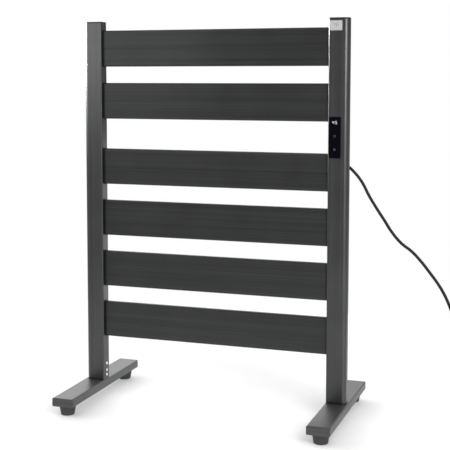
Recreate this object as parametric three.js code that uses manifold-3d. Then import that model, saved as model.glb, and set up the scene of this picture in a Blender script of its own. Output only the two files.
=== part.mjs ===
// Free-standing electric towel warmer. Two extruded posts stand on foot bars and carry
// six flat hollow bars with a heating cable looped through each. The right-hand post
// holds the touch panel and its electronics, and the mains cord leaves its rear face.
//
// Millimetres, +Z up, front towards -Y. The origin is on the floor, midway between the
// posts. Touching pieces keep GAP between them.
import * as THREE from 'three';
import { mergeVertices } from 'three/addons/utils/BufferGeometryUtils.js';
import Module from 'manifold-3d';

const wasm = await Module();
wasm.setup();

// ---- driving dimensions ----------------------------------------------------------
const GAP = 0.3;
const LEFT = -1;
const RIGHT = 1;
const HEIGHT = 900;

const POST = { span: 637, width: 45, depth: 30, wall: 2, outerRadius: 10, innerRadius: 2.5 };
const CAP = { plate: 3, lip: 9, lipWall: 1.6 };
const FOOT = { top: 42.5, height: 19.5, width: 52, length: 364, radius: 3, wall: 2, outset: 2 };
const FOOT_CAP = { plate: 2.5, lip: 10, lipWall: 1.6 };
const RUBBER = { topRadius: 19.5, bottomRadius: 15.5, inset: 26, recessRadius: 6, recessDepth: 9 };
const SLAT = { top: 879.5, height: 84.5, pitch: 122.5, thickness: 12, wall: 1.4, radius: 3.5, tenon: 8 };
const SLAT_COUNT = 6;
const WIDE_GAP_AFTER = 2;
const WIDE_GAP_EXTRA = 32.5;
const HEATER = { radius: 2.5, rise: 19.5, bendX: -282, endX: 288 };
const SPIGOT = { height: 50, boreRadius: 2.8, boreSpacing: 16, boreDepth: 13 };
const BOLT = { radius: 2.5, headRadius: 4.5, headHeight: 3.5, length: 13, access: 5.5 };
const POST_SCREW = { radius: 2, headRadius: 3.6, headHeight: 2.2, length: 10, holeRadius: 2.35 };
const POST_SCREW_RISES = [11, 22, 38.5];
const FOOT_SCREW = { radius: 2.2, headRadius: 4.8, headHeight: 3, length: 20, holeRadius: 2.55 };

const PANEL = { x: 289, z: 638.4, width: 26, height: 90, thickness: 1.2, radius: 1.2 };
const WINDOW = { width: 20, height: 82 };
const DISPLAY = { z: 671.5, width: 18, height: 12 };
const TOUCH_KEYS = { power: 641.6, timer: 612 };
const HOUSING = { width: 26, height: 100, depth: 6.1, wall: 1.2, back: 1.5 };
const BOARD_THICKNESS = 1.6;
const LABEL = { x: 290.3, z: 882.7, width: 27, height: 22, thickness: 0.6, radius: 1.5 };

const POWER_BOARD = { x: 311, z: 478, depth: 17, height: 92 };
const TERMINALS = { x: 307, y: 2, z: 626, width: 9, depth: 14, height: 34, pitch: 11 };
const CUTOUT = { x: 286.5, width: 5, depth: 10, height: 16, drop: 2 };
const HARNESS = { x: 294, radius: 2.8, branchRadius: 1.3, overrun: 6 };

const EXIT_Z = 574;
const EARTH_SCREW_Z = EXIT_Z - 34;
const RELIEF = { length: 30, flangeRadius: 8.2, neckRadius: 5.4, rootRadius: 6.4, tipRadius: 4.4 };
const CORD_RADIUS = 3.4;
const COIL = { x: 660, y: 100, innerRadius: 27.1, outerRadius: 47.9, bottom: 1.4, top: 8.4 };
const TIE = { width: 8, thickness: 1, sideRoom: 1.4 };
const PLUG = { x: 701, neckY: 72, z: 13.4, width: 30, height: 26, cornerRadius: 8 };
const PLUG_BODY = { neckLength: 22, neckRadius: 8, bodyLength: 36 };
const BLADE = { length: 17.5, thickness: 1.5, height: 6.3, spacing: 12.7, z: 3 };
const EARTH_PIN = { length: 20.5, radius: 2.4, z: -8.5 };

// ---- derived places --------------------------------------------------------------
const POST_X = POST.span / 2 - POST.width / 2;
const INNER_FACE_X = POST_X - POST.width / 2;
const FRONT_Y = -POST.depth / 2;
const REAR_Y = POST.depth / 2;
const POST_BOTTOM = FOOT.top + GAP;
const POST_TOP = HEIGHT - CAP.plate - GAP;
const POST_LENGTH = POST_TOP - POST_BOTTOM;
const FOOT_X = POST_X + FOOT.outset;
const FOOT_BOTTOM = FOOT.top - FOOT.height;
const RUBBER_HEIGHT = FOOT_BOTTOM - GAP;
const CAVITY_FRONT_Y = FRONT_Y + POST.wall;

// Height of a bar's middle: bars are evenly pitched but for one wider space.
function slatMiddle(index) {
  const widened = index >= WIDE_GAP_AFTER ? WIDE_GAP_EXTRA : 0;
  return SLAT.top - SLAT.height / 2 - index * SLAT.pitch - widened;
}
const SLAT_MIDDLES = Array.from({ length: SLAT_COUNT }, (_, index) => slatMiddle(index));

// ---- materials -------------------------------------------------------------------
const ANTHRACITE = { color: 0x3c3d3f, roughness: 0.42, metalness: 0.75 };
const BLACK_PLASTIC = { color: 0x131314, roughness: 0.5, metalness: 0 };
const BLACK_GLASS = { color: 0x050507, roughness: 0.08, metalness: 0 };
const RUBBER_BLACK = { color: 0x1c1c1d, roughness: 0.85, metalness: 0 };
const ZINC = { color: 0xb9bbbd, roughness: 0.35, metalness: 1 };
const SILICONE = { color: 0x8a2f22, roughness: 0.7, metalness: 0 };
const CIRCUIT_GREEN = { color: 0x1d5a35, roughness: 0.55, metalness: 0 };
const CORD_BLACK = { color: 0x19191a, roughness: 0.55, metalness: 0 };
const LABEL_SILVER = { color: 0xdcdcda, roughness: 0.35, metalness: 0.3 };
const IVORY_PLASTIC = { color: 0xe2ddcd, roughness: 0.5, metalness: 0 };

const rack = new THREE.Group();

// Adds one named piece to the rack.
function add(name, geometry, look, x = 0, y = 0, z = 0) {
  const mesh = new THREE.Mesh(geometry, new THREE.MeshStandardMaterial(look));
  mesh.name = name;
  mesh.position.set(x, y, z);
  rack.add(mesh);
  return mesh;
}

// ---- solids ----------------------------------------------------------------------
function solidOf(geometry) {
  const bare = geometry.index ? geometry.toNonIndexed() : geometry.clone();
  bare.deleteAttribute('normal');
  bare.deleteAttribute('uv');
  const merged = mergeVertices(bare, 1e-4);
  const vertProperties = merged.attributes.position.array;
  const triVerts = new Uint32Array(merged.index.array);
  return new wasm.Manifold(new wasm.Mesh({ numProp: 3, vertProperties, triVerts }));
}

function geometryOf(solid) {
  const mesh = solid.getMesh();
  const geometry = new THREE.BufferGeometry();
  geometry.setAttribute('position', new THREE.BufferAttribute(mesh.vertProperties, 3));
  geometry.setIndex(new THREE.BufferAttribute(mesh.triVerts, 1));
  return geometry;
}

function cut(base, cutters) {
  const remainder = cutters.reduce((solid, cutter) => solid.subtract(solidOf(cutter)), solidOf(base));
  return geometryOf(remainder);
}

function join(pieces) {
  const [first, ...others] = pieces.map(solidOf);
  return geometryOf(others.reduce((solid, other) => solid.add(other), first));
}

// ---- shapes ----------------------------------------------------------------------
// Centred rectangle with one radius for each corner, from the low-x, low-y corner round.
function roundedRect(width, height, radii) {
  const [r0, r1, r2, r3] = Array.isArray(radii) ? radii : [radii, radii, radii, radii];
  const x = width / 2;
  const y = height / 2;
  const turn = Math.PI / 2;
  const shape = new THREE.Shape();
  shape.absarc(-x + r0, -y + r0, r0, 2 * turn, 3 * turn);
  shape.absarc(x - r1, -y + r1, r1, -turn, 0);
  shape.absarc(x - r2, y - r2, r2, 0, turn);
  shape.absarc(-x + r3, y - r3, r3, turn, 2 * turn);
  return shape;
}

function withHoles(shape, holes) {
  shape.holes.push(...holes);
  return shape;
}

// Where a shape's own x, y and depth axes point when it is extruded along each axis.
const AXES = {
  x: [new THREE.Vector3(0, 1, 0), new THREE.Vector3(0, 0, 1), new THREE.Vector3(1, 0, 0)],
  y: [new THREE.Vector3(1, 0, 0), new THREE.Vector3(0, 0, 1), new THREE.Vector3(0, -1, 0)],
  z: [new THREE.Vector3(1, 0, 0), new THREE.Vector3(0, 1, 0), new THREE.Vector3(0, 0, 1)],
};

// A shape extruded along one axis, centred on the origin.
function extrusion(shape, length, axis, curveSegments = 3) {
  const geometry = new THREE.ExtrudeGeometry(shape, { depth: length, bevelEnabled: false, curveSegments });
  geometry.translate(0, 0, -length / 2);
  geometry.applyMatrix4(new THREE.Matrix4().makeBasis(...AXES[axis]));
  return geometry;
}

function box(width, depth, height, x = 0, y = 0, z = 0) {
  return new THREE.BoxGeometry(width, depth, height).translate(x, y, z);
}

// A round rod along one axis, centred on the given point.
function rod(radius, length, axis, x = 0, y = 0, z = 0, sides = 16) {
  const geometry = new THREE.CylinderGeometry(radius, radius, length, sides);
  if (axis === 'x') {
    geometry.rotateZ(Math.PI / 2);
  }
  if (axis === 'z') {
    geometry.rotateX(Math.PI / 2);
  }
  return geometry.translate(x, y, z);
}

// A body turned about +Z from [radius, height] corners that run from the axis to the axis.
function turned(profile, segments = 20) {
  const points = profile.map(([radius, height]) => new THREE.Vector2(radius, height));
  return new THREE.LatheGeometry(points, segments).rotateX(Math.PI / 2);
}

// Pan-head screw along +Z: the head's underside is at the origin and the shank points up.
function screw({ radius, headRadius, headHeight, length }) {
  return turned([
    [0, -headHeight],
    [headRadius * 0.65, -headHeight],
    [headRadius, -headHeight * 0.45],
    [headRadius, 0],
    [radius, 0],
    [radius, length],
    [0, length],
  ], 12);
}

// ---- posts -----------------------------------------------------------------------
// The post's outline, moved in by an amount. The outer corners are full, the inner ones tight.
function postOutline(side, inset) {
  const outer = POST.outerRadius - inset;
  const inner = Math.max(POST.innerRadius - inset, 0.5);
  const radii = side === RIGHT ? [inner, outer, outer, inner] : [outer, inner, inner, outer];
  return roundedRect(POST.width - 2 * inset, POST.depth - 2 * inset, radii);
}

function post(side) {
  const wallX = -side * (POST.width / 2 - POST.wall / 2);
  const through = POST.wall + 2;
  const middle = POST_BOTTOM + POST_LENGTH / 2;
  const tube = extrusion(withHoles(postOutline(side, 0), [postOutline(side, POST.wall)]), POST_LENGTH, 'z');
  const slot = roundedRect(SLAT.thickness + 2 * GAP, SLAT.height + 2 * GAP, SLAT.radius + GAP);
  const cutters = SLAT_MIDDLES.map((z) => extrusion(slot, through, 'x').translate(wallX, 0, z - middle));
  POST_SCREW_RISES.forEach((rise) => {
    cutters.push(rod(POST_SCREW.holeRadius, through, 'x', wallX, 0, FOOT.top + rise - middle));
  });
  if (side === RIGHT) {
    const frontWallY = FRONT_Y + POST.wall / 2;
    const rearWallY = REAR_Y - POST.wall / 2;
    cutters.push(box(WINDOW.width, through, WINDOW.height, PANEL.x - POST_X, frontWallY, PANEL.z - middle));
    cutters.push(rod(RELIEF.neckRadius + GAP, through, 'y', 0, rearWallY, EXIT_Z - middle, 20));
    cutters.push(rod(POST_SCREW.holeRadius, through, 'y', 0, rearWallY, EARTH_SCREW_Z - middle));
  }
  return cut(tube, cutters);
}

// A flat cap with a hollow lip that plugs the top of the post.
function postCap(side) {
  const inset = POST.wall + GAP;
  const plate = extrusion(postOutline(side, 0), CAP.plate, 'z').translate(0, 0, -CAP.plate / 2);
  const lipRing = withHoles(postOutline(side, inset), [postOutline(side, inset + CAP.lipWall)]);
  const lip = extrusion(lipRing, CAP.lip + 0.5, 'z').translate(0, 0, -CAP.plate - CAP.lip / 2 + 0.25);
  return join([plate, lip]);
}

for (const side of [LEFT, RIGHT]) {
  const name = side === LEFT ? 'left' : 'right';
  add(`${name}_post`, post(side), ANTHRACITE, side * POST_X, 0, POST_BOTTOM + POST_LENGTH / 2);
  add(`${name}_post_cap`, postCap(side), BLACK_PLASTIC, side * POST_X, 0, HEIGHT);
}

// ---- heated bars and their heating cables ----------------------------------------
// A flat tube with a web at mid-height, so that the cable's two runs have a chamber each.
function slat() {
  const length = 2 * (INNER_FACE_X + SLAT.tenon);
  const chamberHeight = (SLAT.height - 3 * SLAT.wall) / 2;
  const chamberDepth = SLAT.thickness - 2 * SLAT.wall;
  const outline = roundedRect(SLAT.thickness, SLAT.height, SLAT.radius);
  const chamber = extrusion(roundedRect(chamberDepth, chamberHeight, 1.5), length + 2, 'x');
  const offset = chamberHeight / 2 + SLAT.wall / 2;
  const chambers = [chamber.clone().translate(0, 0, offset), chamber.clone().translate(0, 0, -offset)];
  return cut(extrusion(outline, length, 'x'), chambers);
}

// A long loop: straight runs above and below, joined by a half turn at the low-x end.
// Most of its steps are spent on the turn.
class HairpinCurve extends THREE.Curve {
  getPoint(t, target = new THREE.Vector3()) {
    const runShare = 0.1;
    if (t < runShare) {
      const x = THREE.MathUtils.mapLinear(t, 0, runShare, HEATER.endX, HEATER.bendX);
      return target.set(x, 0, HEATER.rise);
    }
    if (t > 1 - runShare) {
      const x = THREE.MathUtils.mapLinear(t, 1 - runShare, 1, HEATER.bendX, HEATER.endX);
      return target.set(x, 0, -HEATER.rise);
    }
    const angle = THREE.MathUtils.mapLinear(t, runShare, 1 - runShare, 0, Math.PI);
    return target.set(HEATER.bendX - HEATER.rise * Math.sin(angle), 0, HEATER.rise * Math.cos(angle));
  }

  getPointAt(u, target) {
    return this.getPoint(u, target);
  }

  getTangentAt(u, target) {
    return this.getTangent(u, target);
  }
}

function tube(curve, radius, steps, halfSides) {
  const section = new THREE.Shape();
  section.absarc(0, 0, radius, 0, 2 * Math.PI);
  return new THREE.ExtrudeGeometry(section, { steps, curveSegments: halfSides, extrudePath: curve });
}

SLAT_MIDDLES.forEach((z, index) => {
  add(`slat_${index + 1}`, slat(), ANTHRACITE, 0, 0, z);
  add(`heating_cable_${index + 1}`, tube(new HairpinCurve(), HEATER.radius, 14, 4), SILICONE, 0, 0, z);
});

// ---- feet ------------------------------------------------------------------------
const BAR_LENGTH = FOOT.length - 2 * (FOOT_CAP.plate + GAP);
const RUBBER_Y = FOOT.length / 2 - RUBBER.inset;
const BOLT_OFFSETS = [-SPIGOT.boreSpacing / 2, SPIGOT.boreSpacing / 2];

// A hollow bar. The spigot's bolts pass its top wall and go in through holes underneath.
function footBar(side) {
  const outer = roundedRect(FOOT.width, FOOT.height, FOOT.radius);
  const hollow = roundedRect(FOOT.width - 2 * FOOT.wall, FOOT.height - 2 * FOOT.wall, 1);
  const bar = extrusion(withHoles(outer, [hollow]), BAR_LENGTH, 'y');
  const through = FOOT.wall + 2;
  const topWallZ = FOOT.height / 2 - FOOT.wall / 2;
  const cutters = [];
  for (const x of BOLT_OFFSETS) {
    cutters.push(rod(BOLT.radius + GAP, through, 'z', x - side * FOOT.outset, 0, topWallZ));
    cutters.push(rod(BOLT.access, through, 'z', x - side * FOOT.outset, 0, -topWallZ));
  }
  for (const y of [-RUBBER_Y, RUBBER_Y]) {
    cutters.push(rod(FOOT_SCREW.holeRadius, through, 'z', 0, y, -topWallZ));
  }
  return cut(bar, cutters);
}

function footCap(end) {
  const plate = extrusion(roundedRect(FOOT.width, FOOT.height, FOOT.radius), FOOT_CAP.plate, 'y');
  const inset = 2 * (FOOT.wall + GAP);
  const lipOutline = roundedRect(FOOT.width - inset, FOOT.height - inset, 1);
  const rim = 2 * FOOT_CAP.lipWall;
  const lipHollow = roundedRect(FOOT.width - inset - rim, FOOT.height - inset - rim, 0.5);
  const lip = extrusion(withHoles(lipOutline, [lipHollow]), FOOT_CAP.lip + 0.5, 'y');
  lip.translate(0, -end * (FOOT_CAP.plate / 2 + FOOT_CAP.lip / 2 - 0.25), 0);
  return join([plate, lip]);
}

// Tapered rubber foot with a recess under it for its screw.
function rubberFoot() {
  const profile = [
    [FOOT_SCREW.holeRadius, RUBBER_HEIGHT],
    [FOOT_SCREW.holeRadius, RUBBER.recessDepth],
    [RUBBER.recessRadius, RUBBER.recessDepth],
    [RUBBER.recessRadius, 0],
    [RUBBER.bottomRadius - 1, 0],
    [RUBBER.bottomRadius, 1],
    [RUBBER.topRadius, RUBBER_HEIGHT - 3],
    [RUBBER.topRadius, RUBBER_HEIGHT],
    [FOOT_SCREW.holeRadius, RUBBER_HEIGHT],
  ];
  return turned(profile, 20);
}

// The block that stands on the foot bar and fills the bottom of the post.
function spigot(side) {
  const inset = POST.wall + GAP;
  const block = extrusion(postOutline(side, inset), SPIGOT.height, 'z');
  const boreZ = (SPIGOT.boreDepth - SPIGOT.height) / 2 - 1;
  const cutters = BOLT_OFFSETS.map((x) => rod(SPIGOT.boreRadius, SPIGOT.boreDepth + 2, 'z', x, 0, boreZ));
  const sideX = -side * (POST.width / 2 - inset);
  POST_SCREW_RISES.forEach((rise) => {
    const z = rise - GAP - SPIGOT.height / 2;
    cutters.push(rod(POST_SCREW.holeRadius, POST_SCREW.length * 2, 'x', sideX, 0, z));
  });
  return cut(block, cutters);
}

for (const side of [LEFT, RIGHT]) {
  const name = side === LEFT ? 'left' : 'right';
  const footX = side * FOOT_X;
  const barZ = FOOT_BOTTOM + FOOT.height / 2;
  add(`${name}_foot_bar`, footBar(side), ANTHRACITE, footX, 0, barZ);
  add(`${name}_spigot`, spigot(side), ZINC, side * POST_X, 0, POST_BOTTOM + SPIGOT.height / 2);
  for (const end of [-1, 1]) {
    const place = `${name}_${end < 0 ? 'front' : 'rear'}`;
    const capY = end * (FOOT.length / 2 - FOOT_CAP.plate / 2);
    add(`${place}_foot_cap`, footCap(end), ANTHRACITE, footX, capY, barZ);
    add(`${place}_rubber_foot`, rubberFoot(), RUBBER_BLACK, footX, end * RUBBER_Y, 0);
    const screwZ = RUBBER.recessDepth - GAP;
    add(`${place}_rubber_foot_screw`, screw(FOOT_SCREW), ZINC, footX, end * RUBBER_Y, screwZ);
  }
  BOLT_OFFSETS.forEach((x, index) => {
    const headSeat = FOOT.top - FOOT.wall - GAP;
    add(`${name}_spigot_bolt_${index + 1}`, screw(BOLT), ZINC, side * POST_X + x, 0, headSeat);
  });
  POST_SCREW_RISES.forEach((rise, index) => {
    const piece = screw(POST_SCREW).rotateY(side * Math.PI / 2);
    const headSeatX = side * (INNER_FACE_X - GAP);
    add(`${name}_post_screw_${index + 1}`, piece, ZINC, headSeatX, 0, FOOT.top + rise);
  });
}

// ---- touch panel and electronics, inside the right-hand post ---------------------
const GLASS_BACK_Y = FRONT_Y - GAP;
const HOUSING_FRONT_Y = CAVITY_FRONT_Y + GAP;
const BOARD_FRONT_Y = FRONT_Y + 4;
const MODULE_FRONT_Y = GLASS_BACK_Y + 0.5;
const MODULE_DEPTH = BOARD_FRONT_Y - GAP - MODULE_FRONT_Y;

// An open tray behind the window, which holds the board by its rim.
function panelHousing() {
  const outer = box(HOUSING.width, HOUSING.depth, HOUSING.height, 0, HOUSING.depth / 2, 0);
  const hollowDepth = HOUSING.depth - HOUSING.back;
  const hollowWidth = HOUSING.width - 2 * HOUSING.wall;
  const hollowHeight = HOUSING.height - 2 * HOUSING.wall;
  const hollow = box(hollowWidth, hollowDepth + 1, hollowHeight, 0, (hollowDepth - 1) / 2, 0);
  const cableSlot = box(6, 4, 8, 6, HOUSING.depth, -HOUSING.height / 2 + 10);
  return cut(outer, [hollow, cableSlot]);
}

function controlBoard() {
  const width = HOUSING.width - 2 * HOUSING.wall - 1;
  const plate = box(width, BOARD_THICKNESS, HOUSING.height - 2 * HOUSING.wall - 6);
  const chipDepth = 1;
  const chip = box(7, chipDepth + 0.2, 7, 0, -BOARD_THICKNESS / 2 - chipDepth / 2 + 0.1, -12);
  const crystal = box(3, chipDepth + 0.2, 8, 8, -BOARD_THICKNESS / 2 - chipDepth / 2 + 0.1, -10);
  return join([plate, chip, crystal]);
}

// A power supply board on edge, with its relay, transformer and smoothing capacitor.
function powerBoard() {
  const plate = box(BOARD_THICKNESS, POWER_BOARD.depth, POWER_BOARD.height);
  const relay = box(11, 14, 19, -6, 0, 28);
  const transformer = box(10, 13, 16, -5.5, 0, 3);
  const capacitor = rod(4.5, 12, 'x', -6.5, 2, -18);
  const header = box(7, 12, 8, -4, 0, -38);
  return join([plate, relay, transformer, capacitor, header]);
}

// A three-way block: a wire way through each pole and a screw well above it.
function terminalBlock() {
  const block = box(TERMINALS.width, TERMINALS.depth, TERMINALS.height);
  const wellX = -TERMINALS.width / 2;
  const cutters = [-1, 0, 1].flatMap((pole) => [
    rod(1.8, TERMINALS.depth + 2, 'y', 0, 0, pole * TERMINALS.pitch, 12),
    rod(2.2, TERMINALS.width / 2, 'x', wellX, 0, pole * TERMINALS.pitch, 12),
  ]);
  return cut(block, cutters);
}

// A capacitive key's sensor spring, as the thin ring that it fills when pressed flat.
function touchSpring() {
  return turned([
    [2.6, 0],
    [4, 0],
    [4, MODULE_DEPTH],
    [2.6, MODULE_DEPTH],
    [2.6, 0],
  ], 20).rotateX(Math.PI / 2).translate(0, MODULE_DEPTH, 0);
}

const panelOutline = roundedRect(PANEL.width, PANEL.height, PANEL.radius);
const labelOutline = roundedRect(LABEL.width, LABEL.height, LABEL.radius);
const labelY = FRONT_Y - GAP - LABEL.thickness / 2;
add('touch_panel', extrusion(panelOutline, PANEL.thickness, 'y'), BLACK_GLASS,
  PANEL.x, GLASS_BACK_Y - PANEL.thickness / 2, PANEL.z);
add('panel_housing', panelHousing(), BLACK_PLASTIC, PANEL.x, HOUSING_FRONT_Y, PANEL.z);
add('control_board', controlBoard(), CIRCUIT_GREEN, PANEL.x, BOARD_FRONT_Y + BOARD_THICKNESS / 2, PANEL.z);
add('display_module', box(DISPLAY.width, MODULE_DEPTH, DISPLAY.height, 0, MODULE_DEPTH / 2, 0), BLACK_PLASTIC,
  PANEL.x, MODULE_FRONT_Y, DISPLAY.z);
for (const [key, z] of Object.entries(TOUCH_KEYS)) {
  add(`${key}_key_spring`, touchSpring(), ZINC, PANEL.x, MODULE_FRONT_Y, z);
}
add('label_plate', extrusion(labelOutline, LABEL.thickness, 'y'), LABEL_SILVER, LABEL.x, labelY, LABEL.z);

// A small thermostat case with a stub for its wires, beside the third bar's open end.
function thermalCutout() {
  const stubLength = 7;
  const stub = rod(2, stubLength, 'z', 0, 0, CUTOUT.height / 2 + stubLength / 2 - 1, 12);
  return join([box(CUTOUT.width, CUTOUT.depth, CUTOUT.height), stub]);
}

add('power_board', powerBoard(), CIRCUIT_GREEN, POWER_BOARD.x, 0, POWER_BOARD.z);
add('terminal_block', terminalBlock(), IVORY_PLASTIC, TERMINALS.x, TERMINALS.y, TERMINALS.z);
add('thermal_cutout', thermalCutout(), IVORY_PLASTIC, CUTOUT.x, 0, SLAT_MIDDLES[2] - CUTOUT.drop);

// ---- wiring ----------------------------------------------------------------------
// A trunk up the post, with a short branch to each end of each heating cable.
function wiringHarness() {
  const top = SLAT_MIDDLES[0] + HEATER.rise + HARNESS.overrun;
  const bottom = SLAT_MIDDLES[SLAT_COUNT - 1] - HEATER.rise - HARNESS.overrun;
  const pieces = [rod(HARNESS.radius, top - bottom, 'z', HARNESS.x, 0, (top + bottom) / 2, 12)];
  const start = HEATER.endX + GAP;
  const branchX = (HARNESS.x + start) / 2;
  for (const z of SLAT_MIDDLES) {
    for (const rise of [-HEATER.rise, HEATER.rise]) {
      pieces.push(rod(HARNESS.branchRadius, HARNESS.x - start, 'x', branchX, 0, z + rise, 8));
    }
  }
  return join(pieces);
}
add('wiring_harness', wiringHarness(), SILICONE);

// Screw that bonds the earth wire to the post, from its rear face.
const earthScrew = screw({ ...POST_SCREW, length: 8 }).rotateX(Math.PI / 2);
add('earth_screw', earthScrew, ZINC, POST_X, REAR_Y + GAP, EARTH_SCREW_Z);

// ---- mains cord ------------------------------------------------------------------
// Tapered strain relief: a flange inside the post, a neck through its wall and a tail.
function strainRelief() {
  const wallInner = -POST.wall;
  return turned([
    [0, wallInner - 3],
    [RELIEF.flangeRadius - 0.6, wallInner - 3],
    [RELIEF.flangeRadius - 0.6, wallInner - GAP],
    [RELIEF.neckRadius, wallInner - GAP],
    [RELIEF.neckRadius, GAP],
    [RELIEF.flangeRadius, GAP],
    [RELIEF.flangeRadius, 2.5],
    [RELIEF.rootRadius, 4],
    [RELIEF.tipRadius, RELIEF.length],
    [0, RELIEF.length],
  ], 20).rotateX(-Math.PI / 2);
}

// The cord's uncoiled route, from the strain relief's tip, out of the post's rear face,
// over to the right and down to the floor, where the coil takes it.
const CORD_ROUTE = [
  [296, 45.3, 574], [296, 50, 574], [298.1, 65.2, 571.6], [303.7, 75, 565.4], [311.6, 80.7, 556.5],
  [320.1, 83.4, 546.4], [332.8, 85, 528], [344.4, 87, 504.8], [361.5, 89, 476.4], [380.4, 90, 448],
  [397.5, 91.5, 421.5], [419.9, 93, 395.7], [443.1, 94, 378.3], [463.8, 96, 356.9], [484.5, 98, 330.9],
  [502.8, 101, 305.9], [516.3, 104, 283], [527.7, 107, 257.6], [537.5, 110, 230], [546.5, 113, 198],
  [555, 116, 163], [563, 119.5, 126], [571.5, 123.5, 91], [582, 129, 60], [596, 134.5, 34],
  [613, 140, 15.5], [634, 144.5, 6.4],
];

function coil() {
  const bevel = 2;
  const { innerRadius, outerRadius, bottom, top } = COIL;
  return turned([
    [innerRadius, bottom + bevel],
    [innerRadius + bevel, bottom],
    [outerRadius - bevel, bottom],
    [outerRadius, bottom + bevel],
    [outerRadius, top - bevel],
    [outerRadius - bevel, top],
    [innerRadius + bevel, top],
    [innerRadius, top - bevel],
    [innerRadius, bottom + bevel],
  ], 36);
}

// A strap round the coil's section.
function coilTie() {
  const width = COIL.outerRadius - COIL.innerRadius + TIE.sideRoom;
  const height = COIL.top - COIL.bottom + 2 * GAP;
  const outline = roundedRect(width + 2 * TIE.thickness, height + 2 * TIE.thickness, 2);
  return extrusion(withHoles(outline, [roundedRect(width, height, 1)]), TIE.width, 'y');
}

// Grounded plug along -Y: a tapered neck, a body with rounded edges, two blades and a pin.
function mainsPlug() {
  const bodyFront = -PLUG_BODY.neckLength - PLUG_BODY.bodyLength;
  const neckLength = PLUG_BODY.neckLength + 1;
  const neck = new THREE.CylinderGeometry(CORD_RADIUS + 1, PLUG_BODY.neckRadius, neckLength, 16);
  neck.translate(0, -neckLength / 2, 0);
  const section = roundedRect(PLUG.width, PLUG.height, PLUG.cornerRadius);
  const body = extrusion(section, PLUG_BODY.bodyLength, 'y');
  body.translate(0, bodyFront + PLUG_BODY.bodyLength / 2, 0);
  const bladeY = bodyFront - BLADE.length / 2 + 0.5;
  const blades = [-1, 1].map((side) => {
    const bladeX = side * BLADE.spacing / 2;
    return box(BLADE.thickness, BLADE.length + 1, BLADE.height, bladeX, bladeY, BLADE.z);
  });
  const pinY = bodyFront - EARTH_PIN.length / 2 + 0.5;
  const pin = rod(EARTH_PIN.radius, EARTH_PIN.length + 1, 'y', 0, pinY, EARTH_PIN.z, 12);
  return join([body, neck, ...blades, pin]);
}

const routePoints = CORD_ROUTE.map((point) => new THREE.Vector3(...point));
const cordCurve = new THREE.CatmullRomCurve3(routePoints, false, 'centripetal');
const tieX = COIL.x - (COIL.innerRadius + COIL.outerRadius) / 2;
add('cord_strain_relief', strainRelief(), BLACK_PLASTIC, POST_X, REAR_Y, EXIT_Z);
add('mains_cord', tube(cordCurve, CORD_RADIUS, 52, 4), CORD_BLACK);
add('mains_cord_coil', coil(), CORD_BLACK, COIL.x, COIL.y, 0);
add('coil_tie', coilTie(), BLACK_PLASTIC, tieX, COIL.y, (COIL.bottom + COIL.top) / 2);
add('mains_plug', mainsPlug(), CORD_BLACK, PLUG.x, PLUG.neckY, PLUG.z);

export default rack;
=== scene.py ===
"""A free-standing electric towel warmer: brushed anthracite posts, bars and feet, with a touch
panel on the right-hand post and a mains cord from its rear face. Metres, +Z up, front to -Y."""
import math

import bmesh
import bpy
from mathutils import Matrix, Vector


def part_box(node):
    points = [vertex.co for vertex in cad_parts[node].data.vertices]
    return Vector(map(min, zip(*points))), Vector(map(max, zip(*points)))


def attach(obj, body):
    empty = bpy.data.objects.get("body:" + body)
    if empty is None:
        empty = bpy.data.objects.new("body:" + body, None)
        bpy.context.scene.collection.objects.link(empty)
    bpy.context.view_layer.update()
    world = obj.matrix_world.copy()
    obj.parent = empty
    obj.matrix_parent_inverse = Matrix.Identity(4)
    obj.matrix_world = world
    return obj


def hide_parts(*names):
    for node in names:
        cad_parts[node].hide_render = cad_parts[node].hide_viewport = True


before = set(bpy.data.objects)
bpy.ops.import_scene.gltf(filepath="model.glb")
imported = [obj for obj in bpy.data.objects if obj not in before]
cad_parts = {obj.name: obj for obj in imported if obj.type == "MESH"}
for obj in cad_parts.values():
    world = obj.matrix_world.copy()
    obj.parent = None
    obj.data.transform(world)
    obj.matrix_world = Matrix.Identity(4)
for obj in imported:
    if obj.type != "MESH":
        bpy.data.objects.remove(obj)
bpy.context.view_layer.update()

MM = 0.001
SIDES = {"left": -1, "right": 1}
ENDS = {"front": -1, "rear": 1}
scene = bpy.context.scene


# ---- camera ------------------------------------------------------------------------
def make_camera():
    data = bpy.data.cameras.new("camera")
    data.lens = 84.95
    data.sensor_width = 36
    data.shift_y = -0.1289
    data.clip_end = 100
    camera = bpy.data.objects.new("camera", data)
    camera.location = (0.8227, -2.2896, 0.7668)
    camera.rotation_euler = [math.radians(turn) for turn in (85.25, -0.030, 19.112)]
    scene.collection.objects.link(camera)
    scene.camera = camera


make_camera()


# ---- mains cord --------------------------------------------------------------------
CORD_DIAMETER = 0.0068
EXIT = (0.2960, 0.0453, 0.574)
# The uncoiled route, from the strain relief's tip down to the floor.
ROUTE = [
    EXIT, (0.2960, 0.0500, 0.5740), (0.2981, 0.0652, 0.5716), (0.3037, 0.0750, 0.5654),
    (0.3116, 0.0807, 0.5565), (0.3201, 0.0834, 0.5464), (0.3328, 0.0850, 0.5280),
    (0.3444, 0.0870, 0.5048), (0.3615, 0.0890, 0.4764), (0.3804, 0.0900, 0.4480),
    (0.3975, 0.0915, 0.4215), (0.4199, 0.0930, 0.3957), (0.4431, 0.0940, 0.3783),
    (0.4638, 0.0960, 0.3569), (0.4845, 0.0980, 0.3309), (0.5028, 0.1010, 0.3059),
    (0.5163, 0.1040, 0.2830), (0.5277, 0.1070, 0.2576), (0.5375, 0.1100, 0.2300),
    (0.5465, 0.1130, 0.1980), (0.5550, 0.1160, 0.1630), (0.5630, 0.1195, 0.1260),
    (0.5715, 0.1235, 0.0910), (0.5820, 0.1290, 0.0600), (0.5960, 0.1345, 0.0340),
    (0.6130, 0.1400, 0.0155), (0.6340, 0.1445, 0.0064),
]
COIL_CENTRE = (0.660, 0.100)
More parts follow.
